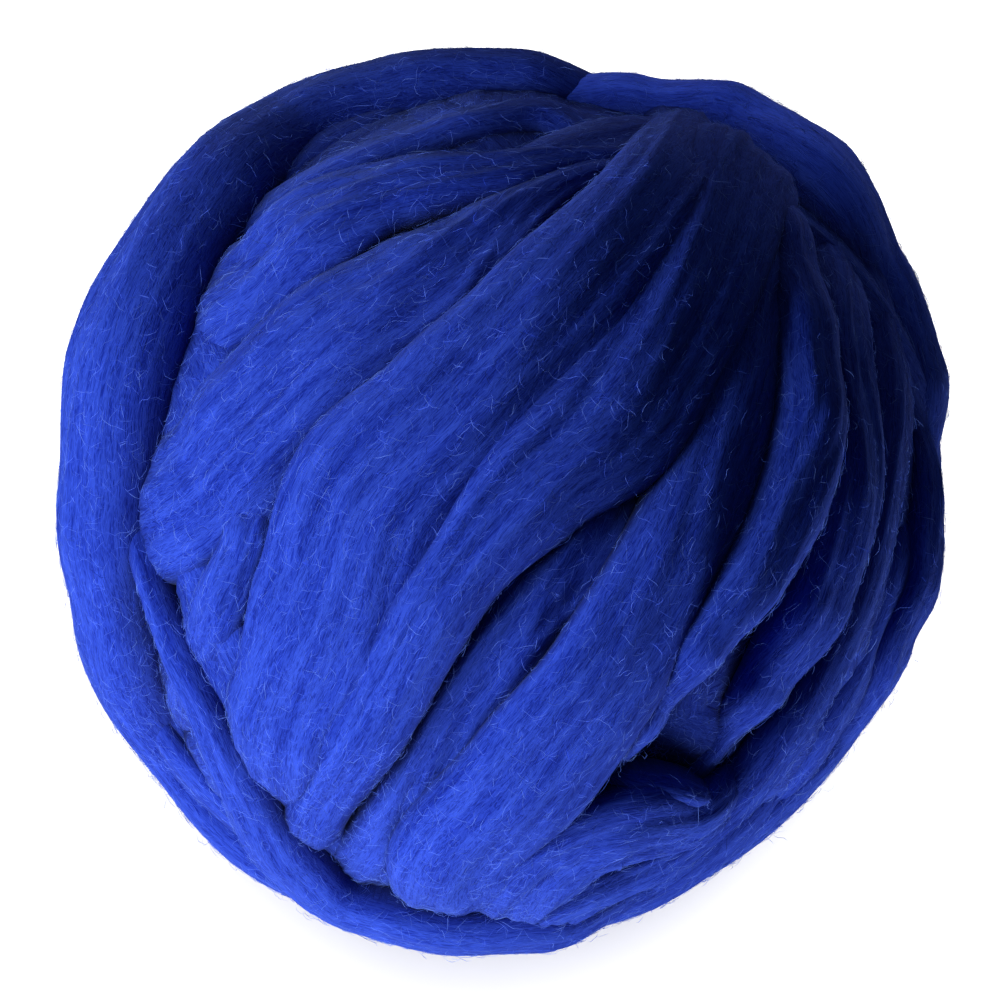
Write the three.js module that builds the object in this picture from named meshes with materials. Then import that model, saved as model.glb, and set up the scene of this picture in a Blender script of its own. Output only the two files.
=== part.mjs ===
// A ball of super chunky merino yarn: one thick, unspun strand of royal blue wool, wound by hand.
// Millimetres, +Z up. The origin is the middle of the flat spot on which the ball rests.
import * as THREE from "three";
import { mergeVertices } from "three/addons/utils/BufferGeometryUtils.js";

// Driving dimensions of the ball.
const BALL_RADIUS = 110; // from its middle to the edges of the outer strands
const CORE_RADIUS = 96; // the wool wound first, at the bottom of the deepest gaps
const REST_HEIGHT = 110; // its middle, above the surface that it lies on
const REST_RADIUS = 34; // the spot that its own weight has pressed flat
const FACE_LEAN = 15; // degrees that its best face leans towards the front from straight up

// The section of a strand: a rounded back with soft furrows along it.
const EDGE_ROUNDING = 2.3; // 2 is an ellipse, and more is flatter with fuller edges
const EDGE_SLOPE = 1.6; // fall of the wool beyond a strand's edge, for each millimetre outwards
const FOLD_DEPTH = 0.8; // the furrows' depth, each way
const FOLD_SWAY = 2.5; // how far the furrows wander across the strand, as an angle

// The layer below, which closes the gaps: full turns, spread evenly about the ball.
const UNDER_TURNS = 11;
const UNDER_WIDTH = 54;
const UNDER_LIFT = -13; // on the face
const UNDER_BACK_LIFT = -6; // round the sides and behind, where fewer strands cross
const UNDER_CROWN = 6;
const UNDER_FOLDS = 3;

const BACK_LIFTS = [-7, -5, -3, -1]; // strands lie over one another in turn on the far side
const BACK_CROWN = 7; // and are all much the same height and width there
const BACK_WIDTH = 42;
const STATIONS = 240; // along each strand's closed route
const FACETS = 23; // cuts along each edge of the icosahedron that is swelled to the ball
const SOFTNESS = 0.7; // how far each height is drawn to the mean of those round it
const WOOL_BLUE = 0x2a45b9;

// The outer strands, lowest first. Each crosses the best face of the ball through a few sections:
// [right, up, width, lift]. right and up are seen square on to that face, from its middle. lift is the
// height of the strand's edges above BALL_RADIUS, and crown is how far its back rises above them.
const OUTER_STRANDS = {
  topUnder: {
    crown: 6,
    folds: 1,
    route: [[-28, 93, 14, -6], [-9, 100, 15, -4], [10, 102, 15, -4], [27, 94, 14, -6]],
  },
  tabInner: {
    crown: 6,
    folds: 2,
    route: [
      [-84, 6, 34, -14], [-75, -12, 38, -10], [-68, -33, 38, -6],
      [-60, -56, 34, -7], [-50, -80, 26, -9],
    ],
  },
  tabUnder: {
    crown: 6,
    folds: 1,
    route: [
      [-58, 12, 14, -10], [-66, -8, 17, -5], [-73, -25, 18, -3],
      [-80, -43, 17, -8], [-82, -61, 14, -15],
    ],
  },
  heartUnder: {
    crown: 6,
    folds: 2,
    route: [[39, 22, 28, -3], [22, -11, 28, 1], [7, -33, 28, 1], [-13, -61, 28, -1], [-32, -92, 26, -5]],
  },
  footUnder: {
    crown: 7,
    folds: 2,
    route: [
      [70, -60, 14, -12], [50, -84, 20, 0], [30, -87, 30, 4],
      [13, -95, 30, 3], [-6, -109, 20, -5],
    ],
  },
  thinStrand: {
    crown: 5,
    folds: 1,
    route: [[23, -68, 5, -5], [33, -73, 7, 0], [48, -76, 7, 0], [59, -76, 6, -12]],
  },
  darkStrand: {
    crown: 8,
    folds: 2,
    route: [
      [80, 74, 22, -4], [89, 42, 24, 2], [92, 6, 24, 3],
      [84, -26, 22, 1], [69, -48, 17, -5], [55, -62, 12, -12],
    ],
  },
  rightInner: {
    crown: 9,
    folds: 2,
    route: [
      [90, 76, 28, -1], [101, 35, 24, -4], [99, 1, 20, -6], [90, -31, 17, -6],
      [75, -59, 17, -5], [58, -80, 18, -5], [36, -95, 17, -6], [15, -106, 16, -7],
    ],
  },
  rightOuter: {
    crown: 8,
    folds: 2,
    route: [
      [106, 54, 20, -3], [108, 22, 20, -4], [104, -15, 19, -7], [95, -40, 19, -9],
      [85, -59, 19, -9], [71, -78, 19, -9], [51, -96, 18, -10], [28, -107, 16, -9],
    ],
  },
  rightRim: {
    crown: 6,
    folds: 2,
    route: [
      [111, 32, 18, -4], [113, 1, 18, 1], [112, -20, 18, 2], [104, -38, 18, -1],
      [92, -64, 17, -4], [74, -84, 17, -5], [47, -104, 17, -9],
    ],
  },
  crest: {
    crown: 18,
    folds: 1,
    route: [
      [-14, 104, 18, -22], [12, 107, 26, -14], [36, 107, 30, -9], [61, 101, 32, -1], [85, 87, 32, 5],
      [101, 62, 30, -3], [109, 34, 28, -8], [112, 4, 22, -14], [104, -32, 16, -24],
    ],
  },
  fanUpper: {
    crown: 7,
    folds: 2,
    route: [
      [26, 89, 10, -2], [-1, 86, 18, -1], [-26, 83, 26, 0],
      [-50, 73, 36, 1], [-69, 56, 39, -3], [-89, 35, 38, -15],
    ],
  },
  fanLower: {
    crown: 7,
    folds: 2,
    route: [
      [18, 83, 14, -2], [-3, 69, 27, -1], [-21, 56, 40, 0], [-44, 40, 47, 1],
      [-67, 18, 46, 0], [-83, 2, 42, -3], [-97, -11, 36, -17],
    ],
  },
  heartLeft: {
    crown: 8,
    folds: 2,
    route: [
      [62, 108, 26, -12], [53, 96, 30, 0], [40, 80, 30, 6], [11, 49, 36, 7], [-13, 23, 42, 7],
      [-33, 1, 49, 7], [-45, -29, 46, 5], [-57, -56, 36, 2], [-56, -82, 25, -9],
    ],
  },
  heartRight: {
    crown: 8,
    folds: 2,
    route: [
      [76, 104, 34, -10], [63, 89, 36, 5], [47, 47, 32, 7], [30, 23, 36, 8], [8, 4, 33, 8],
      [-11, -23, 27, 7], [-31, -59, 25, 5], [-47, -81, 22, -3], [-54, -95, 18, -14],
    ],
  },
  greatBand: {
    crown: 9,
    folds: 1,
    route: [
      [62, 94, 16, -18], [70, 56, 20, 2], [61, 19, 30, 5], [45, -16, 30, 7],
      [28, -45, 31, 8], [9, -70, 35, 6], [-11, -93, 36, 2], [-17, -106, 30, -10],
    ],
  },
  greatEdge: {
    crown: 11,
    folds: 1,
    route: [
      [66, 92, 12, -18], [75, 66, 16, 2], [80, 43, 18, 8], [81, 21, 20, 11], [76, 1, 20, 11],
      [66, -18, 18, 11], [52, -36, 15, 9], [38, -53, 11, 1], [26, -68, 8, -12],
    ],
  },
  ropeInner: {
    crown: 8,
    folds: 1,
    route: [
      [-92, -19, 10, -5], [-80, -49, 13, 0], [-69, -74, 17, 1], [-57, -95, 22, 2], [-42, -106, 22, 4],
      [-17, -113, 20, 5], [10, -113, 20, 3], [34, -103, 18, -5], [56, -90, 13, -15],
    ],
  },
  rope: {
    crown: 20,
    folds: 2,
    route: [
      [36, 117, 20, -16], [4, 115, 26, -10], [-27, 109, 30, -8], [-56, 99, 32, -6], [-80, 80, 34, -2],
      [-99, 40, 34, 2], [-106, 1, 33, -4], [-102, -31, 29, -9], [-88, -68, 24, -13], [-69, -95, 22, -11],
    ],
  },
};

// A direction from the middle of the ball to a place on the sphere of the given radius, seen square on.
function onFace(right, up, radius) {
  const depth = Math.sqrt(Math.max(radius ** 2 - right ** 2 - up ** 2, 0));
  return new THREE.Vector3(right, up, depth).normalize();
}

function between(from, to, share) {
  return from.clone().lerp(to, share).normalize();
}

// The sections of an outer strand: those on the face, then the way round behind, which passes the
// point opposite the middle of the face's stretch.
function outerSections({ crown, route }, backLift) {
  const front = route.map(([right, up, width, lift]) => ({
    place: onFace(right, up, BALL_RADIUS + lift + crown / 2),
    width,
    lift,
    crown,
  }));
  const first = front[0].place;
  const last = front[front.length - 1].place;
  const opposite = new THREE.Vector3();
  front.forEach((section) => opposite.sub(section.place));
  opposite.normalize();
  const places = [between(last, opposite, 0.5), opposite, between(opposite, first, 0.5)];
  const back = places.map((place) => ({ place, width: BACK_WIDTH, lift: backLift, crown: BACK_CROWN }));
  return [...front, ...back];
}

// The sections of one full turn of the layer below, about an axis from an even spiral of directions.
function underSections(turn) {
  const height = (turn + 0.5) / UNDER_TURNS;
  const azimuth = turn * Math.PI * (3 - Math.sqrt(5));
  const flat = Math.sqrt(1 - height ** 2);
  const axis = new THREE.Vector3(flat * Math.cos(azimuth), flat * Math.sin(azimuth), height);
  const spoke = new THREE.Vector3(1, 1, 1).cross(axis).normalize();
  return Array.from({ length: 8 }, (_, i) => {
    const place = spoke.clone().applyAxisAngle(axis, (i / 8) * 2 * Math.PI);
    const behind = THREE.MathUtils.smoothstep(-place.z, -0.6, 0);
    const lift = THREE.MathUtils.lerp(UNDER_LIFT, UNDER_BACK_LIFT, behind);
    return { place, width: UNDER_WIDTH, lift, crown: UNDER_CROWN };
  });
}

// A strand as stations along the closed curve through its sections.
function layStrand(sections, folds) {
  const curve = new THREE.CatmullRomCurve3(sections.map((section) => section.place), true);
  const stations = Array.from({ length: STATIONS }, (_, i) => {
    const t = i / STATIONS;
    const index = Math.floor(t * sections.length);
    const from = sections[index];
    const to = sections[(index + 1) % sections.length];
    const share = THREE.MathUtils.smoothstep(t * sections.length - index, 0, 1);
    const place = curve.getPoint(t).normalize();
    return {
      place,
      sideways: place.clone().cross(curve.getTangent(t)).normalize(),
      width: THREE.MathUtils.lerp(from.width, to.width, share),
      lift: THREE.MathUtils.lerp(from.lift, to.lift, share),
      crown: THREE.MathUtils.lerp(from.crown, to.crown, share),
      sway: FOLD_SWAY * Math.sin(4 * Math.PI * t),
    };
  });
  return { stations, folds };
}

// How far from the middle of the ball a strand's back, or the slope beside it, is in one direction.
function strandHeight({ stations, folds }, direction) {
  let station = stations[0];
  let closest = -1;
  for (const candidate of stations) {
    const closeness = direction.dot(candidate.place);
    if (closeness > closest) {
      closest = closeness;
      station = candidate;
    }
  }
  const across = BALL_RADIUS * Math.asin(direction.dot(station.sideways));
  const share = across / (station.width / 2);
  if (Math.abs(share) >= 1) {
    return BALL_RADIUS + station.lift - EDGE_SLOPE * (Math.abs(across) - station.width / 2);
  }
  const back = station.crown * Math.sqrt(1 - Math.abs(share) ** EDGE_ROUNDING);
  const furrow = FOLD_DEPTH * Math.cos(Math.PI * folds * share + station.sway) * (1 - share ** 2);
  return BALL_RADIUS + station.lift + back + furrow;
}

// The points next to each point of a closed mesh: every edge is met once from each of its ends.
function neighboursOf(geometry) {
  const index = geometry.getIndex();
  const neighbours = Array.from({ length: geometry.getAttribute("position").count }, () => []);
  for (let corner = 0; corner < index.count; corner++) {
    const next = corner % 3 === 2 ? corner - 2 : corner + 1;
    neighbours[index.getX(corner)].push(index.getX(next));
  }
  return neighbours;
}

// Wool is soft: its steps and edges are rounded by drawing each height towards those round it.
function soften(heights, neighbours) {
  return heights.map((height, i) => {
    const sum = neighbours[i].reduce((total, j) => total + heights[j], 0);
    return THREE.MathUtils.lerp(height, sum / neighbours[i].length, SOFTNESS);
  });
}

// The ball's weight presses its underside to the surface that it lies on.
function pressFlat(point) {
  if (point.z >= 0) {
    return;
  }
  const onPlane = REST_HEIGHT / -point.z;
  const reach = Math.hypot(point.x, point.y) * onPlane;
  if (onPlane < 1 || reach < REST_RADIUS) {
    point.multiplyScalar(onPlane);
    point.z = -REST_HEIGHT;
  }
}

function woundBall() {
  const strands = [];
  for (let turn = 0; turn < UNDER_TURNS; turn++) {
    strands.push(layStrand(underSections(turn), UNDER_FOLDS));
  }
  Object.values(OUTER_STRANDS).forEach((strand, i) => {
    const sections = outerSections(strand, BACK_LIFTS[i % BACK_LIFTS.length]);
    strands.push(layStrand(sections, strand.folds));
  });

  const sphere = new THREE.IcosahedronGeometry(1, FACETS);
  sphere.deleteAttribute("uv");
  sphere.deleteAttribute("normal");
  const geometry = mergeVertices(sphere, 0.01);
  const lean = THREE.MathUtils.degToRad(FACE_LEAN);
  const right = new THREE.Vector3(1, 0, 0);
  const position = geometry.getAttribute("position");
  const directions = Array.from({ length: position.count }, (_, i) =>
    new THREE.Vector3().fromBufferAttribute(position, i).normalize(),
  );
  const wound = directions.map((direction) =>
    Math.max(CORE_RADIUS, ...strands.map((strand) => strandHeight(strand, direction))),
  );
  const heights = soften(wound, neighboursOf(geometry));
  directions.forEach((direction, i) => {
    const point = direction.multiplyScalar(heights[i]).applyAxisAngle(right, lean);
    pressFlat(point);
    position.setXYZ(i, point.x, point.y, point.z + REST_HEIGHT);
  });
  geometry.computeVertexNormals();
  return geometry;
}

const wool = new THREE.MeshStandardMaterial({ color: WOOL_BLUE, roughness: 0.95, metalness: 0 });
const ball = new THREE.Mesh(woundBall(), wool);
ball.name = "ball";

const yarn = new THREE.Group();
yarn.add(ball);

export default yarn;
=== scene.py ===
# %% [markdown]
# # A ball of super chunky merino yarn
# The object is one very thick, unspun strand of royal blue wool (roving), wound by hand into a ball. The
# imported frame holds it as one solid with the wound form. This lesson lays every turn of the strand as its
# own soft band, gives it a combed wool finish, and covers it with the loose fibres that make wool look like
# wool.

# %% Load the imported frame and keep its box
import math
import bmesh
import bpy
import numpy as np
from mathutils import Matrix, Vector
from mathutils.bvhtree import BVHTree


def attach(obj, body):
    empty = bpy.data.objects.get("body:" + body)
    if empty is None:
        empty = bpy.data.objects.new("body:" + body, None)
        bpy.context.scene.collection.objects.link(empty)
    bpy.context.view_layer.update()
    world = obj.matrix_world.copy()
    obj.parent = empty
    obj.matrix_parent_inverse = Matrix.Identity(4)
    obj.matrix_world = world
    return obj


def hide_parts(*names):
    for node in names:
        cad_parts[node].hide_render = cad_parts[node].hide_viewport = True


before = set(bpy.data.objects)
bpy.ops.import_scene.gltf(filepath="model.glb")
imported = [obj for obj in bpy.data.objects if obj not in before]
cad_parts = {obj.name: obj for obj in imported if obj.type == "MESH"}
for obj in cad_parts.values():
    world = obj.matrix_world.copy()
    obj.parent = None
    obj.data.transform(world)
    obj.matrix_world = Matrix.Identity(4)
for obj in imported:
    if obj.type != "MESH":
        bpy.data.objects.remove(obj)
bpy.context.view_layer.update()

MM = 0.001

# %% [markdown]
# ## The ball's own axes
# The ball lies with its best face turned up and leaning a little to the front. All its turns are charted on
# that face: right, up, and out towards the viewer. One rotation matrix takes such a point into the frame,
# and the same three axes aim the camera and the lamps, so what is charted square on is also seen square on.

# %% Axes of the face, and the middle of the ball
FACE_LEAN = math.radians(15)
REST_HEIGHT = 110 * MM
FACE = np.array(Matrix.Rotation(FACE_LEAN, 3, "X"))
MIDDLE = np.array((0.0, 0.0, REST_HEIGHT))


def from_face(points):
    """Points charted on the face, from the middle of the ball, as points of the frame."""
    return np.asarray(points) @ FACE.T + MIDDLE


print("the face looks along", FACE[:, 2].round(3))

# %% [markdown]
# ## The camera
# The picture is taken from well back with a long lens, so the ball is nearly flat on: its outline is the
# widest part of the winding. The camera comes first.

# %% Camera, square on to the face
CAMERA_DISTANCE = 4.0
FRAME_WIDTH = 264 * MM
FRAME_MIDDLE = (-0.8 * MM, 0.8 * MM)
SENSOR = 36.0


def aim(thing, place, target):
    """Puts a camera or lamp at a place and turns it to look at a target, with up kept up."""
    thing.location = place
    thing.rotation_mode = "QUATERNION"
    thing.rotation_quaternion = (Vector(target) - Vector(place)).to_track_quat("-Z", "Y")


camera = bpy.data.objects.new("camera", bpy.data.cameras.new("camera"))
bpy.context.scene.collection.objects.link(camera)
bpy.context.scene.camera = camera
camera.data.sensor_width = SENSOR
camera.data.lens = SENSOR * CAMERA_DISTANCE / FRAME_WIDTH
camera.data.clip_end = 5 * CAMERA_DISTANCE
aim(camera, from_face((*FRAME_MIDDLE, CAMERA_DISTANCE)), from_face((*FRAME_MIDDLE, 0)))
print("lens", round(camera.data.lens, 1), "mm")

# %% [markdown]
# ## Floor and light
# The floor is plain and pale, and the wool is lit as on a white table beside a window: a big soft window on
# the left, light thrown up from the table in front, and two weak fills from behind, so that the far side of
# the ball sinks into deep blue. The floor has a lamp of its own: with light linking, it whitens the floor
# and leaves the wool alone. The floor casts no shadow and diffuse rays don't meet it, so the low lamps
# shine through it onto the ball.

# %% A plain pale floor
FLOOR_SIZE = 12.0
PAPER_PALE = (0.5, 0.5, 0.5, 1)


def new_object(name, data):
    """A new object in the scene that shows a mesh or a lamp."""
    piece = bpy.data.objects.new(name, data)
    bpy.context.scene.collection.objects.link(piece)
    return piece


def mesh_of(name, bm):
    """The finished mesh of a bmesh, which is freed."""
    mesh = bpy.data.meshes.new(name)
    bm.to_mesh(mesh)
    bm.free()
    return mesh


def set_inputs(shader, values):
    """Sets sockets of a shader node by their names."""
    for name, value in values.items():
        shader.inputs[name].default_value = value


bm = bmesh.new()
bmesh.ops.create_grid(bm, x_segments=1, y_segments=1, size=FLOOR_SIZE / 2)
floor = new_object("floor", mesh_of("floor", bm))
paper = bpy.data.materials.new("pale_floor")
paper.use_nodes = True
set_inputs(paper.node_tree.nodes["Principled BSDF"], {"Base Color": PAPER_PALE, "Roughness": 1.0})
floor.data.materials.append(paper)
floor.visible_diffuse = False
floor.visible_glossy = False
floor.visible_shadow = False
print("floor", FLOOR_SIZE, "m wide")

# %% Lamps for the wool: direction on the face, distance, width and height in metres, power in watts
WOOL_LAMPS = {
    "window_left": ((-0.88, -0.15, 0.5), 1.2, 0.7, 0.7, 14),
    "bounce_low": ((0.12, -0.96, -0.05), 1.2, 0.9, 0.4, 10.5),
    "fill_back": ((0.1, 0.9, -0.7), 1.6, 1.2, 1.2, 4),
    "fill_right": ((0.9, -0.1, -0.75), 1.6, 1.2, 1.2, 1.4),
}


def new_lamp(name, kind, power):
    """A new lamp of a kind, with its power in watts."""
    lamp = new_object(name, bpy.data.lights.new(name, kind))
    lamp.data.energy = power
    return lamp


def area_lamp(name, direction, distance, width, height, power):
    """A soft lamp that looks at the ball from a direction charted on the face."""
    lamp = new_lamp(name, "AREA", power)
    lamp.data.shape = "RECTANGLE"
    lamp.data.size = width
    lamp.data.size_y = height
    aim(lamp, from_face(np.array(direction) / np.linalg.norm(direction) * distance), MIDDLE)
    return lamp


all_but_floor = bpy.data.collections.new("all_but_floor")
all_but_floor.objects.link(floor)
all_but_floor.collection_objects[0].light_linking.link_state = "EXCLUDE"
for name, setting in WOOL_LAMPS.items():
    area_lamp(name, *setting).light_linking.receiver_collection = all_but_floor
print("lamps for the wool:", list(WOOL_LAMPS))

# %% A lamp for the floor alone, and the faint light of the room
FLOOR_LAMP_HEIGHT = 4.0
FLOOR_LAMP_POWER = 1210
ROOM_TINT = (0.85, 0.92, 1.0, 1)
ROOM_STRENGTH = 0.035

floor_lamp = new_lamp("floor_lamp", "AREA", FLOOR_LAMP_POWER)
floor_lamp.data.size = FLOOR_SIZE / 2
aim(floor_lamp, (0, 0, FLOOR_LAMP_HEIGHT), (0, MM, 0))
floor_only = bpy.data.collections.new("floor_only")
floor_only.objects.link(floor)
floor_lamp.light_linking.receiver_collection = floor_only

world = bpy.data.worlds.new("room")
bpy.context.scene.world = world
world.use_nodes = True
set_inputs(world.node_tree.nodes["Background"], {"Color": ROOM_TINT, "Strength": ROOM_STRENGTH})
bpy.context.scene.view_settings.view_transform = "Standard"
bpy.context.scene.cycles.denoising_prefilter = "NONE"
print("room light", ROOM_TINT[:3])

# %% [markdown]
# ## The routes of the strand
# Winding lays the strand in turns that cross each other. Each outer turn is charted by a few sections where
# it crosses the face: how far right and up, how wide the strand lies there, and how high its edges are
# lifted over the ball's radius by the turns below. Behind the ball it comes round through the point
# opposite. The solid is shaped by much the same turns, so the bands lie close to it.

# %% Sizes of the winding, in millimetres
BALL_RADIUS = 110  # to the edges of the outer turns
CORE_RADIUS = 96  # the wool wound first
BACK_LIFTS = (-7, -5, -3, -1)  # outer turns lie over one another behind the ball
BACK_CROWN = 7
BACK_WIDTH = 42
UNDER_TURNS = 11
UNDER_WIDTH = 54
UNDER_LIFT = -13  # below the face
UNDER_BACK_LIFT = -6  # round the sides and behind
UNDER_CROWN = 6

# name: (crown, folds, sections of (right, up, width, lift))
OUTER_STRANDS = {
    "top_under": (6, 1, [(-28, 93, 14, -6), (-9, 100, 15, -4), (10, 102, 15, -4), (27, 94, 14, -6)]),
    "tab_inner": (6, 2, [
        (-84, 6, 34, -14), (-77, -13, 42, -6), (-70, -34, 42, -2), (-62, -57, 38, -3), (-51, -80, 28, -7)]),
    "tab_under": (6, 1, [
        (-58, 12, 14, -10), (-66, -8, 17, -1), (-73, -25, 18, 1), (-80, -43, 17, -4), (-82, -61, 14, -13)]),
    "heart_under": (6, 2, [
        (39, 22, 28, -3), (22, -11, 28, 1), (7, -33, 28, 1), (-13, -61, 28, -1), (-32, -92, 26, -5)]),
    "foot_under": (7, 2, [
        (70, -60, 14, -12), (50, -84, 20, 0), (30, -87, 30, 4), (13, -95, 30, 3), (-6, -109, 20, -5)]),
    "thin_strand": (5, 1, [(23, -68, 5, -5), (33, -73, 7, 0), (48, -76, 7, 0), (59, -76, 6, -12)]),
    "dark_strand": (8, 2, [
        (80, 74, 22, -4), (89, 42, 24, 2), (92, 6, 24, 3), (84, -26, 22, 1), (69, -48, 17, -5),
        (55, -62, 12, -12)]),
    "right_inner": (9, 2, [
        (90, 76, 28, -1), (101, 35, 24, -4), (99, 1, 20, -6), (90, -31, 17, -6), (75, -59, 17, -5),
        (58, -80, 18, -5), (36, -96, 20, -3), (18, -104, 22, -1), (0, -112, 18, -6)]),
    "right_outer": (8, 2, [
        (106, 54, 20, -3), (108, 22, 20, -4), (104, -15, 19, -7), (95, -40, 19, -9), (85, -59, 19, -9),
        (71, -78, 19, -9), (51, -96, 18, -10), (28, -107, 16, -9)]),
    "right_rim": (6, 2, [
        (111, 32, 18, -4), (113, 1, 18, 1), (112, -20, 18, 2), (104, -38, 18, -1), (92, -64, 17, -4),
        (75, -85, 17, -5), (47, -104, 17, -9)]),
    "crest": (18, 1, [
        (-14, 104, 18, -22), (12, 107, 26, -14), (36, 107, 30, -9), (61, 101, 32, -1), (85, 87, 36, 3),
        (101, 62, 30, -3), (109, 34, 28, -6), (112, 4, 22, -14), (104, -32, 16, -24)]),
    "fan_upper": (7, 2, [
        (26, 89, 10, -2), (-1, 86, 18, -1), (-26, 83, 26, 0), (-50, 73, 36, 1), (-69, 56, 39, -3),
        (-89, 35, 38, -15)]),
    "fan_lower": (7, 2, [
        (18, 83, 14, -2), (-3, 69, 27, -1), (-21, 56, 40, 0), (-44, 40, 47, 1), (-67, 18, 46, 0),
        (-83, 2, 42, -3), (-97, -11, 36, -17)]),
    "heart_left": (8, 2, [
        (62, 108, 26, -12), (53, 96, 30, 0), (40, 80, 30, 6), (11, 49, 36, 7), (-13, 23, 42, 7),
        (-33, 1, 49, 7), (-45, -29, 46, 5), (-57, -56, 36, 2), (-56, -82, 25, -9)]),
    "heart_right": (8, 2, [
        (76, 104, 34, -10), (63, 89, 36, 5), (47, 47, 32, 7), (30, 23, 36, 8), (7, 5, 31, 8),
        (-14, -21, 22, 7), (-34, -57, 20, 5), (-49, -80, 18, -3), (-55, -95, 16, -14)]),
    "great_band": (9, 1, [
        (62, 94, 16, -18), (70, 56, 20, 2), (61, 19, 30, 5), (45, -16, 30, 7), (28, -45, 31, 8),
        (9, -70, 35, 6), (-11, -93, 36, 2), (-17, -106, 30, -10)]),
    "great_edge": (11, 1, [
        (66, 92, 12, -18), (75, 66, 16, 2), (80, 43, 18, 8), (81, 21, 20, 11), (76, 1, 20, 11),
        (66, -18, 18, 11), (52, -36, 15, 9), (38, -53, 11, 1), (26, -68, 8, -12)]),
    "rope_inner": (8, 1, [
        (-92, -19, 10, -5), (-80, -49, 13, 0), (-69, -74, 17, 1), (-57, -95, 22, 2), (-43, -107, 22, 4),
        (-17, -114, 20, 5), (10, -113, 20, 3), (34, -103, 18, -5), (56, -90, 13, -15)]),
    "rope": (20, 2, [
        (36, 117, 20, -16), (4, 115, 26, -10), (-27, 109, 30, -8), (-56, 99, 32, -6), (-80, 80, 34, -2),
        (-101, 41, 34, 2), (-106, 1, 33, -4), (-102, -31, 29, -9), (-88, -68, 24, -13),
        (-69, -95, 22, -11)]),
}
print(len(OUTER_STRANDS), "outer turns over", UNDER_TURNS, "turns below")

# %% Sections of each turn as directions, widths and lifts
GOLDEN_ANGLE = math.pi * (3 - math.sqrt(5))
UNDER_SECTIONS = 8
UNDER_RISE = (-0.6, 0.0)  # shares of the radius behind the middle between which the turns below rise
SLANT = (1, 1, 1)  # a direction that is no turn's axis


def unit(vectors):
    """Vectors of length 1 with the same directions."""
    return vectors / np.linalg.norm(vectors, axis=-1, keepdims=True)


def on_face(right, up, radius):
    """The direction from the middle of the ball to a place on a sphere, seen square on."""
    return unit(np.array((right, up, math.sqrt(max(radius**2 - right**2 - up**2, 0)))))


def outer_sections(crown, route, back_lift):
    """Places, widths and lifts of an outer turn: across the face, then round behind."""
    places = [on_face(right, up, BALL_RADIUS + lift + crown / 2) for right, up, _, lift in route]
    opposite = -unit(np.sum(places, axis=0))
    behind = [unit(places[-1] + opposite), opposite, unit(opposite + places[0])]
    shape = [(width, lift, crown) for _, _, width, lift in route]
    shape += [(BACK_WIDTH, back_lift, BACK_CROWN)] * len(behind)
    return np.array(places + behind), np.array(shape)


def smoothstep(x, low=0.0, high=1.0):
    """A soft ramp from 0 at the low end to 1 at the high end."""
    x = np.clip((x - low) / (high - low), 0, 1)
    return x * x * (3 - 2 * x)


def under_sections(turn):
    """Places, widths and lifts of one full turn of the layer below, which lies higher behind the ball."""
    height = (turn + 0.5) / UNDER_TURNS
    azimuth = turn * GOLDEN_ANGLE
    flat = math.sqrt(1 - height**2)
    axis = np.array((flat * math.cos(azimuth), flat * math.sin(azimuth), height))
    spoke = unit(np.cross(SLANT, axis))
    angles = np.arange(UNDER_SECTIONS)[:, None] / UNDER_SECTIONS * 2 * math.pi
    places = spoke * np.cos(angles) + np.cross(axis, spoke) * np.sin(angles)
    behind = smoothstep(-places[:, 2], *UNDER_RISE)
    lifts = UNDER_LIFT + (UNDER_BACK_LIFT - UNDER_LIFT) * behind
    return places, np.array([(UNDER_WIDTH, lift, UNDER_CROWN) for lift in lifts])


# %% [markdown]
# A smooth closed curve joins the sections. A centripetal Catmull-Rom spline passes through each of them
# without loops or overshoot, however unevenly they are spaced, and its tangents give the strand's direction
# and its sides.

# %% Turns as stations along closed curves
OUTER_STATIONS = 240
UNDER_STATIONS = 96
UNDER_FOLDS = 3
FIRST_OUTER_SEED = 100


def closed_spline(points, count):
    """Points and tangents along a closed centripetal Catmull-Rom curve, the same number to each section."""
    at = np.arange(count) * len(points) / count
    index = at.astype(int)
    s = (at - index)[:, None]
    p0, p1, p2, p3 = (points[(index + step) % len(points)] for step in (-1, 0, 1, 2))
    spans = ((p0, p1), (p1, p2), (p2, p3))
    d0, d1, d2 = (np.sqrt(np.linalg.norm(b - a, axis=1))[:, None] for a, b in spans)
    leave = ((p1 - p0) / d0 - (p2 - p0) / (d0 + d1) + (p2 - p1) / d1) * d1
    arrive = ((p2 - p1) / d1 - (p3 - p1) / (d1 + d2) + (p3 - p2) / d2) * d1
    square = 3 * (p2 - p1) - 2 * leave - arrive
    cube = 2 * (p1 - p2) + leave + arrive
    return p1 + leave * s + square * s**2 + cube * s**3, leave + 2 * square * s + 3 * cube * s**2


class Strand:
    """One turn of the strand: stations along its closed route, and the shape of its section."""

    def __init__(self, name, sections, folds, count, seed):
        places, shape = sections
        route, tangents = closed_spline(places, count)
        at = np.arange(count) * len(places) / count
        index = at.astype(int)
        share = smoothstep(at - index)[:, None]
        after = (index + 1) % len(places)
        self.name, self.folds = name, folds
        self.place = unit(route)
        self.side = unit(np.cross(self.place, tangents))
        self.width, self.lift, self.crown = (shape[index] * (1 - share) + shape[after] * share).T
        self.turn = np.arange(count) / count
        self.random = np.random.default_rng(seed)


strands = []
for turn in range(UNDER_TURNS):
    name = f"under_turn_{turn:02d}"
    strands.append(Strand(name, under_sections(turn), UNDER_FOLDS, UNDER_STATIONS, turn))
for number, (name, (crown, folds, route)) in enumerate(OUTER_STRANDS.items()):
    sections = outer_sections(crown, route, BACK_LIFTS[number % len(BACK_LIFTS)])
    strands.append(Strand(name, sections, folds, OUTER_STATIONS, FIRST_OUTER_SEED + number))
print(len(strands), "turns laid")
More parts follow.
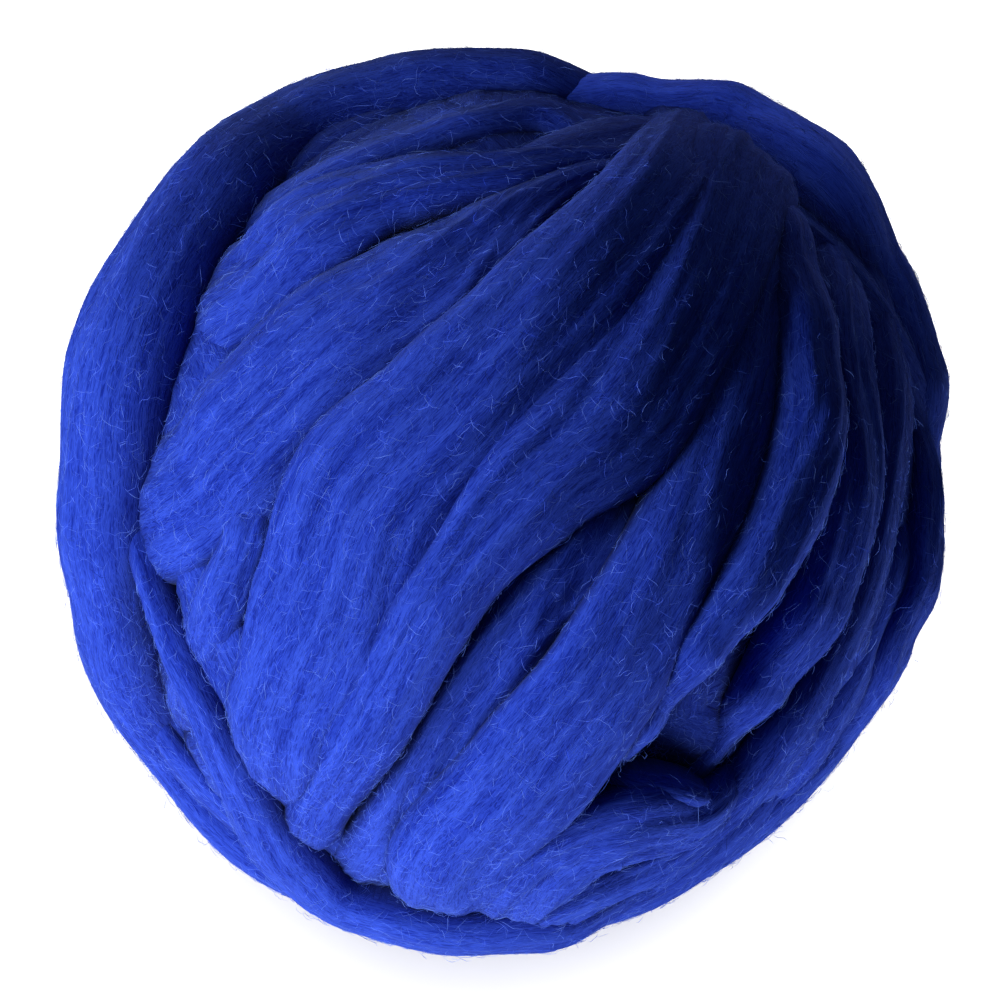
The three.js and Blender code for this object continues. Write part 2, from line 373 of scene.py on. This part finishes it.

# %% [markdown]
# ## The wool's finish
# Roving is combed, so its fibres run along the strand, but each one is crimped and crosses its neighbours.
# The pattern reads an attribute of the mesh, `grain`: how far along the turn, wrapped round a circle so
# that the pattern meets itself without a seam, and how far across. Where a noise that is drawn out along
# the strand passes its middle value, it leaves a thin wavy line, like one fibre. Three such noises lean
# different ways, and the brightest of them at each place makes the crossing fibres. Broader noises make the
# darker and lighter locks. Wool deep in a crease gets little light, so an Ambient Occlusion node paints that
# shade into the colour there: painted crease shade, darkest in the turns below.

# %% Helpers for shader nodes
NOISE_ROUGHNESS = 0.55


def node(tree, kind, **values):
    """A new node with its plain properties and the defaults of its sockets."""
    made = tree.nodes.new(kind)
    for key, value in values.items():
        if hasattr(made, key):
            setattr(made, key, value)
        else:
            made.inputs[key].default_value = value
    return made


def math_node(tree, operation, *terms):
    """A math node: each term is a number or the output of another node."""
    made = node(tree, "ShaderNodeMath", operation=operation)
    for socket, term in zip(made.inputs, terms):
        if isinstance(term, bpy.types.NodeSocket):
            tree.links.new(term, socket)
        else:
            socket.default_value = term
    return made.outputs[0]


def stretched_noise(tree, vector, along, across, detail, distortion):
    """Noise that is drawn out along the strand: sizes of its grain in metres, along and across."""
    mapping = node(tree, "ShaderNodeMapping", Scale=(1 / along, 1 / along, 1 / across))
    noise = node(tree, "ShaderNodeTexNoise", Scale=1.0, Detail=detail, Distortion=distortion,
                 Roughness=NOISE_ROUGHNESS)
    tree.links.new(vector, mapping.inputs["Vector"])
    tree.links.new(mapping.outputs["Vector"], noise.inputs["Vector"])
    return noise.outputs["Fac"]


def leaning(tree, grain, across, lean):
    """The grain sheared along the strand, so that a pattern on it leans to one side."""
    turned = node(tree, "ShaderNodeVectorRotate", rotation_type="Z_AXIS")
    angle = math_node(tree, "MULTIPLY", across, lean / (BALL_RADIUS * MM))
    tree.links.new(grain, turned.inputs["Vector"])
    tree.links.new(angle, turned.inputs["Angle"])
    return turned.outputs["Vector"]


# %% Fibre lines and locks of the wool, as one tone from dark to light
# grain of each noise: length along the strand, width across it, detail and distortion
FIBRE_GRAIN = (7.5 * MM, 0.75 * MM, 1.0, 0.8)
LOCK_GRAIN = (60 * MM, 3.2 * MM, 3.0, 0.3)
PATCH_GRAIN = (9 * MM, 5 * MM, 2.0, 0.0)
FIBRE_LEANS = (-0.35, 0.03, 0.4)
NOISE_MIDDLE = 0.5
LINE_WIDTH = 0.1  # how far from its middle value a noise still counts as a fibre
LINE_SOFTNESS = 0.4
LINE_TONE, LOCK_TONE, PATCH_TONE, BASE_TONE = 0.5, 1.0, 0.35, -0.32


def fibre_lines(tree, grain):
    """Thin crossing lines, 1 on a fibre and 0 between fibres."""
    parts = node(tree, "ShaderNodeSeparateXYZ")
    tree.links.new(grain, parts.inputs["Vector"])
    lines = 0.0
    for lean in FIBRE_LEANS:
        noise = stretched_noise(tree, leaning(tree, grain, parts.outputs["Z"], lean), *FIBRE_GRAIN)
        off = math_node(tree, "ABSOLUTE", math_node(tree, "SUBTRACT", noise, NOISE_MIDDLE))
        off = math_node(tree, "DIVIDE", off, LINE_WIDTH)
        between = math_node(tree, "SMOOTH_MIN", 1.0, off, LINE_SOFTNESS)
        lines = math_node(tree, "MAXIMUM", math_node(tree, "SUBTRACT", 1.0, between), lines)
    return lines


def wool_tone(tree):
    """The wool's tone: fibres, combed locks and patches, each with its own weight."""
    grain = node(tree, "ShaderNodeAttribute", attribute_name="grain").outputs["Vector"]
    lock = stretched_noise(tree, grain, *LOCK_GRAIN)
    patch = stretched_noise(tree, grain, *PATCH_GRAIN)
    tone = math_node(tree, "MULTIPLY_ADD", fibre_lines(tree, grain), LINE_TONE, BASE_TONE)
    tone = math_node(tree, "MULTIPLY_ADD", lock, LOCK_TONE, tone)
    return math_node(tree, "MULTIPLY_ADD", patch, PATCH_TONE, tone)


# %% Wool material
WOOL_STOPS = (
    (0.25, (0.006, 0.024, 0.36, 1)),
    (0.5, (0.012, 0.042, 0.53, 1)),
    (0.95, (0.042, 0.108, 0.84, 1)),
)
WOOL_FINISH = {
    "Roughness": 0.95,
    "Specular IOR Level": 0.15,
    "Sheen Weight": 0.2,
    "Sheen Roughness": 0.45,
    "Sheen Tint": (0.3, 0.45, 1.0, 1),
}
CREASE_DEPTH = 18 * MM
CREASE_SAMPLES = 4
NAP_HEIGHT = 0.4 * MM
NAP_STRENGTH = 0.5
# powers of the crease shade painted into the colour: for the outer turns, and stronger for the turns below
# and the heart
OUTER_CREASE_SHADE = 1.6
DEEP_CREASE_SHADE = 4.5


def colour_ramp(tree, tone, *stops):
    """Colours along a tone: stops of position and colour, from low to high."""
    ramp = node(tree, "ShaderNodeValToRGB")
    marks = ramp.color_ramp.elements
    while len(marks) < len(stops):
        marks.new(0.5)
    for mark, (position, colour) in zip(marks, stops):
        mark.position = position
        mark.color = colour
    tree.links.new(tone, ramp.inputs["Fac"])
    return ramp.outputs["Color"]


def wool_material(name, darkness):
    """Combed wool with shade painted into its colour in creases: the higher the darkness, the darker that
    painted shade.
    """
    material = bpy.data.materials.new(name)
    material.use_nodes = True
    tree = material.node_tree
    shader = tree.nodes["Principled BSDF"]
    set_inputs(shader, WOOL_FINISH)
    tone = wool_tone(tree)
    # painted shade: the Ambient Occlusion node darkens the wool's colour in creases and between turns, where
    # little light reaches
    crease = node(tree, "ShaderNodeAmbientOcclusion", samples=CREASE_SAMPLES, Distance=CREASE_DEPTH)
    open_share = math_node(tree, "POWER", crease.outputs["AO"], darkness)
    shade = node(tree, "ShaderNodeMix", data_type="RGBA", blend_type="MULTIPLY", Factor=1.0)
    first, second = (socket for socket in shade.inputs if socket.type == "RGBA")
    shaded = next(socket for socket in shade.outputs if socket.type == "RGBA")
    tree.links.new(colour_ramp(tree, tone, *WOOL_STOPS), first)
    tree.links.new(open_share, second)
    tree.links.new(shaded, shader.inputs["Base Color"])
    bump = node(tree, "ShaderNodeBump", Strength=NAP_STRENGTH, Distance=NAP_HEIGHT)
    tree.links.new(tone, bump.inputs["Height"])
    tree.links.new(bump.outputs["Normal"], shader.inputs["Normal"])
    return material


# two copies of the wool that differ only in how much crease shade is painted into the colour
wool = wool_material("merino_wool", OUTER_CREASE_SHADE)
deep_wool_painted_shade = wool_material("deep_wool_painted_shade", DEEP_CREASE_SHADE)
print("materials", wool.name, deep_wool_painted_shade.name)

# %% [markdown]
# ## The turns of the strand
# A turn is a closed tube with a wide, flat section: a rounded back, soft edges and an underside that
# reaches down to the wool below. A bmesh grid gives the faces, its points are moved to the tube, and the
# two meeting edges are merged. The back has furrows of three sizes that wander along the strand, as combed
# locks of wool do. A thin strand, or one that dives under its neighbours, has shallower furrows. The
# underside is hidden and has few points.

# %% Section of a turn, in millimetres
TOP_COLUMNS = 32
UNDER_COLUMNS = 6
EDGE_ROUNDING = 2.3  # 2 is an ellipse, and more is flatter with fuller edges
EDGE_CROWDING = 0.85  # less than 1 spreads the columns out from the edges
UNDERSIDE = 0.8  # least depth of the underside, for each millimetre of crown
FOOTING = 14  # how far below the ball's radius the underside reaches
FULL_WIDTH = 32  # a narrower strand has shallower furrows
LEAST_FURROW = 0.2
DIVE_LIFT = -9  # and so has one that dives this far
DIVING_FURROW = 0.35
# waves across the half width for each fold of the strand, depth in mm, and how far they wander
FURROWS = [(1.0, 0.8, 2.5), (2.6, 0.5, 3.2), (5.5, 0.28, 4.0)]
FIRST_WANDERS = 2  # bends of the broadest furrows in a full turn


def section_angles():
    """Angles about the section: across the back, then along the underside."""
    back = np.linspace(0, math.pi, TOP_COLUMNS + 1)
    below = np.linspace(math.pi, 2 * math.pi, UNDER_COLUMNS + 1)[1:]
    return np.concatenate((back, below))


def furrow_relief(strand, share):
    """Height of the furrows on the back, for stations by columns."""
    relief = np.zeros((len(strand.turn), len(share)))
    strength = np.clip(strand.width / FULL_WIDTH, LEAST_FURROW, 1)
    strength *= DIVING_FURROW + (1 - DIVING_FURROW) * smoothstep(strand.lift, DIVE_LIFT, 0)
    for number, (rate, depth, wander) in enumerate(FURROWS):
        phase = 0.0
        if number:
            phase = strand.random.uniform(0, 2 * math.pi)
        drift = wander * np.sin(2 * math.pi * (FIRST_WANDERS + number) * strand.turn + phase)
        wave = np.cos(math.pi * strand.folds * rate * share[None, :] + drift[:, None] + phase)
        relief += depth * wave * (1 - share[None, :] ** 2)
    return relief * strength[:, None]


def strand_points(strand):
    """Points of the tube in mm from the middle of the ball, charted on the face: stations by columns."""
    angles = section_angles()
    cosine, sine = np.cos(angles), np.sin(angles)
    share = np.sign(cosine) * np.abs(cosine) ** EDGE_CROWDING
    back = np.sqrt(np.clip(1 - np.abs(share) ** EDGE_ROUNDING, 0, 1))
    above = strand.crown[:, None] * back[None, :] + furrow_relief(strand, share)
    below = np.maximum(UNDERSIDE * strand.crown, strand.lift + FOOTING)[:, None] * sine[None, :]
    height = np.where(sine[None, :] >= 0, above, below)
    tilt = share[None, :] * strand.width[:, None] / 2 / BALL_RADIUS
    out = strand.place[:, None, :] * np.cos(tilt)[..., None]
    out = out + strand.side[:, None, :] * np.sin(tilt)[..., None]
    return out * (BALL_RADIUS + strand.lift[:, None] + height)[..., None]


# %% One turn as a mesh
GRAIN_APART = 2.0  # metres within which each turn's pattern starts, so that no two look alike
MERGE_DISTANCE = 0.001 * MM


def press_flat(points):
    """Nothing sinks below the floor: the ball's weight presses its underside flat."""
    points[..., 2] = np.maximum(points[..., 2], 0)
    return points


def grain_lengths(loop):
    """Stations as angles on a circle as long as the turn, its radius, and each point's way across."""
    steps = np.linalg.norm(np.diff(loop[:, TOP_COLUMNS // 2], axis=0), axis=1)
    along = np.concatenate(((0,), np.cumsum(steps)))
    across = np.cumsum(np.linalg.norm(np.diff(loop, axis=1), axis=2), axis=1)
    across = np.concatenate((np.zeros((len(loop), 1)), across), axis=1)
    across -= across[:, TOP_COLUMNS // 2, None]
    return along / along[-1] * 2 * math.pi, along[-1] * MM / (2 * math.pi), across * MM


def strand_piece(strand, finish):
    """One turn as an object of its own, with its grain."""
    points = strand_points(strand)
    strand.top = points[:, :TOP_COLUMNS + 1]
    loop = np.concatenate((points, points[:1]))
    placed = press_flat(from_face(loop * MM))
    rows, columns = loop.shape[:2]
    bm = bmesh.new()
    bmesh.ops.create_grid(bm, x_segments=columns - 1, y_segments=rows - 1, size=1)
    grain = bm.verts.layers.float_vector.new("grain")
    angle, radius, across = grain_lengths(loop)
    apart = strand.random.uniform(0, GRAIN_APART)
    for vert in bm.verts:
        row, column = divmod(vert.index, columns)
        vert.co = placed[row, column]
        spoke = (radius * math.cos(angle[row]), radius * math.sin(angle[row]))
        vert[grain] = (*spoke, across[row, column] + apart)
    bmesh.ops.remove_doubles(bm, verts=bm.verts, dist=MERGE_DISTANCE)
    bmesh.ops.recalc_face_normals(bm, faces=bm.faces)
    for face in bm.faces:
        face.smooth = True
    piece = new_object(strand.name, mesh_of(strand.name, bm))
    piece.data.materials.append(finish)
    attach(piece, "root")
    return piece


# the turns below get the wool with the strongest painted crease shade
turns = [strand_piece(strand, deep_wool_painted_shade) for strand in strands[:UNDER_TURNS]]
turns += [strand_piece(strand, wool) for strand in strands[UNDER_TURNS:]]
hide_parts("ball")
print(sum(len(piece.data.polygons) for piece in turns) * 2, "triangles in", len(turns), "turns")

# %% [markdown]
# The crest, the turn that runs over the top of the ball, is turned away from the window, but catches the
# light of the sky. A small lamp with a narrow cone is linked to that turn alone, so that its neighbours
# keep their shade.

# %% A small lamp for the crest
CREST_PLACE = np.array((42, 104, 42)) * MM
CREST_TO_LAMP = np.array((0.1, 0.8, 0.6))
CREST_POWER = 34
CREST_CONE = math.radians(5)
CREST_LAMP_RADIUS = 0.05

crest_lamp = new_lamp("crest_lamp", "SPOT", CREST_POWER)
crest_lamp.data.spot_size = CREST_CONE
crest_lamp.data.spot_blend = 1.0
crest_lamp.data.shadow_soft_size = CREST_LAMP_RADIUS
aim(crest_lamp, from_face(CREST_PLACE + CREST_TO_LAMP), from_face(CREST_PLACE))
crest_only = bpy.data.collections.new("crest_only")
crest_only.objects.link(bpy.data.objects["crest"])
crest_lamp.light_linking.receiver_collection = crest_only
print("crest lit from", crest_lamp.location)

# %% [markdown]
# ## The heart of the ball
# Deep between the turns lies the wool that was wound first. It is only a floor to the gaps, dark with
# painted shade, so a plain icosphere with the finish of the turns below is enough.

# %% Inner wool
bm = bmesh.new()
bmesh.ops.create_icosphere(bm, subdivisions=4, radius=CORE_RADIUS * MM)
heart = new_object("inner_wool", mesh_of("inner_wool", bm))
points = np.empty(len(heart.data.vertices) * 3)
heart.data.vertices.foreach_get("co", points)
heart.data.vertices.foreach_set("co", (points.reshape(-1, 3) + MIDDLE).ravel())
heart.data.attributes.new("grain", "FLOAT_VECTOR", "POINT").data.foreach_set("vector", points)
heart.data.shade_smooth()
# the heart gets the wool with the strongest painted crease shade
heart.data.materials.append(deep_wool_painted_shade)
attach(heart, "root")
print(len(heart.data.polygons), "faces inside")

# %% [markdown]
# ## Loose fibres
# No strand of roving is smooth: crimped fibres lie loose on it everywhere, bridge its creases and blur its
# edges. Each one starts where the wool is open to view, which a ray outwards tells. It walks over the ball
# in short steps, turning a little at each, and every step is drawn back to the nearest wool, so the fibre
# drapes over the strands. A few stand off it by some millimetres.

# %% Where the wool is open to view
CLEARANCE = 0.6 * MM
COVER = 15 * MM  # a turn that lies further off hides nothing
FIBRE_DENSITY = 0.19  # to a square millimetre
FIBRE_SEED = 7

bm = bmesh.new()
for piece in turns:
    bm.from_mesh(piece.data)
wound = BVHTree.FromBMesh(bm)
bm.free()


def is_open(point, outward):
    """Whether a ray from just above the wool leaves the ball without meeting another turn."""
    return wound.ray_cast(point + outward * CLEARANCE, outward, COVER)[0] is None


def open_places(density, rng):
    """Random places on the open wool, so many to a square millimetre: points, along the strand, outwards."""
    found = []
    for strand in strands:
        top = strand.top
        along = np.roll(top, -1, axis=0) - top
        across = np.diff(top, axis=1)
        out = np.cross(across, along[:, :-1])
        area = np.linalg.norm(out, axis=-1)
        count = rng.poisson(area.sum() * density)
        chosen = rng.choice(area.size, count, p=(area / area.sum()).ravel())
        row, column = np.unravel_index(chosen, area.shape)
        point = top[row, column] + along[row, column] * rng.random((count, 1))
        point = point + across[row, column] * rng.random((count, 1))
        outward = unit(out[row, column])
        outward *= np.sign(np.sum(outward * point, axis=1))[:, None]
        rays = zip(from_face(point * MM), unit(outward + unit(point)) @ FACE.T)
        seen = np.array([is_open(Vector(start), Vector(heading)) for start, heading in rays])
        found.append((point[seen], unit(along[row, column])[seen], outward[seen]))
    point, along, out = (np.concatenate(part) for part in zip(*found))
    return from_face(point * MM), along @ FACE.T, out @ FACE.T


rng = np.random.default_rng(FIBRE_SEED)
place, along, out = open_places(FIBRE_DENSITY, rng)
count = len(place)
print(count, "fibres start on open wool")

# %% Paths of the fibres over the wool
FIBRE_STEPS = 3
STEP_LENGTHS = (0.9 * MM, 2.4 * MM)
START_SPREAD, CURL_SPREAD, SWERVE = 0.8, 0.18, 0.5  # radians off the strand, at every step, and at each
LOWEST = 0.08 * MM
RISES = (0.05, 0.7)
LOW_RISES = 1.5  # a power that makes most rises low
STANDING, STANDING_FEW = 5, 6  # how many times as high fibres may stand, and a power that makes them few
REACHES = (0.5, 1.0)  # 1 comes down again at its far end, and 0.5 ends at its highest
BRIDGE = 1.2 * MM


def drape(points, outward):
    """Points drawn back to the nearest wool, unless they bridge a crease, and the way outwards there."""
    for number, point in enumerate(points):
        spot, normal, _, gap = wound.find_nearest(Vector(point))
        if gap < BRIDGE:
            points[number] = spot
            outward[number] = normal


angle = rng.normal(0, START_SPREAD, (count, 1))
heading = along * np.cos(angle) + np.cross(out, along) * np.sin(angle)
curl = rng.normal(0, CURL_SPREAD, (count, 1))
step = rng.uniform(*STEP_LENGTHS, (count, 1))
rise = rng.uniform(*RISES, (count, 1)) ** LOW_RISES * MM
rise *= 1 + STANDING * rng.random((count, 1)) ** STANDING_FEW
reach = rng.uniform(*REACHES, (count, 1))
spine, ways = [], []
for number in range(FIBRE_STEPS + 1):
    level = LOWEST + rise * np.sin(reach * math.pi * (number + 0.5) / (FIBRE_STEPS + 1))
    spine.append(place + out * level)
    ways.append(out.copy())
    place = place + heading * step
    drape(place, out)
    bend = curl + rng.normal(0, SWERVE, (count, 1))
    heading = heading * np.cos(bend) + np.cross(out, heading) * np.sin(bend)
    heading = unit(heading - out * np.sum(heading * out, axis=1, keepdims=True))
spine = np.stack(spine, axis=1)
ways = np.stack(ways, axis=1)
print("fibres about", round(float(step.mean() / MM) * FIBRE_STEPS, 1), "mm long")

# %% [markdown]
# A fibre is a thin three-sided spindle with a tip at each end. There are many thousands, so they are
# computed as arrays and joined in a few meshes. They are shaded nearly with the direction of the wool that
# they lie on, each turned a little its own way: some catch the window's light on a shaded turn, as stray
# hairs do.

# %% Material of the fibres: each has its own tone
FIBRE_DARK = (0.03, 0.09, 0.78, 1)
FIBRE_LIGHT = (0.17, 0.31, 1.0, 1)
FIBRE_FINISH = {"Roughness": 0.9, "Specular IOR Level": 0.2}

loose_wool = bpy.data.materials.new("loose_wool")
loose_wool.use_nodes = True
tree = loose_wool.node_tree
shader = tree.nodes["Principled BSDF"]
set_inputs(shader, FIBRE_FINISH)
tone = node(tree, "ShaderNodeAttribute", attribute_name="tone").outputs["Fac"]
colour = colour_ramp(tree, tone, (0, FIBRE_DARK), (1, FIBRE_LIGHT))
tree.links.new(colour, shader.inputs["Base Color"])
print("material", loose_wool.name)

# %% Points and faces of the fibres
FIBRE_RADIUS = 0.055 * MM
RADIUS_SHARES = (0.45, 1.1)
TONE_MIDDLE, TONE_SPREAD = 0.5, 0.25
FACING_SPREAD = 0.5
CORNERS = (math.pi / 2, math.pi * 7 / 6, math.pi * 11 / 6)
SIDES = len(CORNERS)


def tip_rings_tip(per_point, rings):
    """One row to a fibre: its first tip, its rings of three corners, its last tip."""
    return np.concatenate((per_point[:, :1], rings.reshape(count, -1, 3), per_point[:, -1:]), axis=1)


tones = np.clip(rng.normal(TONE_MIDDLE, TONE_SPREAD, count), 0, 1)
radius = FIBRE_RADIUS * rng.uniform(*RADIUS_SHARES, (count, 1, 1))
tangent = unit(np.gradient(spine, axis=1))[:, 1:-1]
across = unit(np.cross(tangent, ways[:, 1:-1]))
upright = np.cross(across, tangent)
rings = [spine[:, 1:-1] + radius * (across * math.cos(a) + upright * math.sin(a)) for a in CORNERS]
points = tip_rings_tip(spine, np.stack(rings, axis=2))
facing = unit(ways + rng.normal(0, FACING_SPREAD, (count, 1, 3)))
facing = tip_rings_tip(facing, np.repeat(facing[:, 1:-1], SIDES, axis=1))

last = points.shape[1] - 1
fibre_faces = []
for corner in range(SIDES):
    a, b = 1 + corner, 1 + (corner + 1) % SIDES
    fibre_faces.append((0, a, b))
    for _ in range(FIBRE_STEPS - 2):
        fibre_faces += [(a, b + SIDES, b), (a, a + SIDES, b + SIDES)]
        a, b = a + SIDES, b + SIDES
    fibre_faces.append((a, last, b))
print(len(fibre_faces), "faces to a fibre")

# %% Fibres as joined meshes
FIBRE_PIECES = 4


def fibre_piece(name, part):
    """One joined mesh of some of the fibres."""
    corners = points.shape[1]
    starts = corners * np.arange(len(points[part]))
    faces = (np.array(fibre_faces)[None] + starts[:, None, None]).reshape(-1, 3)
    mesh = bpy.data.meshes.new(name)
    mesh.from_pydata(press_flat(points[part].reshape(-1, 3)), [], faces)
    tone = mesh.attributes.new("tone", "FLOAT", "POINT")
    tone.data.foreach_set("value", np.repeat(tones[part], corners))
    mesh.normals_split_custom_set_from_vertices(facing[part].reshape(-1, 3))
    mesh.materials.append(loose_wool)
    piece = new_object(name, mesh)
    piece.visible_shadow = False
    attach(piece, "root")
    return len(faces)


made = []
for n in range(FIBRE_PIECES):
    made.append(fibre_piece(f"loose_fibres_{n + 1}", slice(n, None, FIBRE_PIECES)))
print("triangles of the fibres:", made)
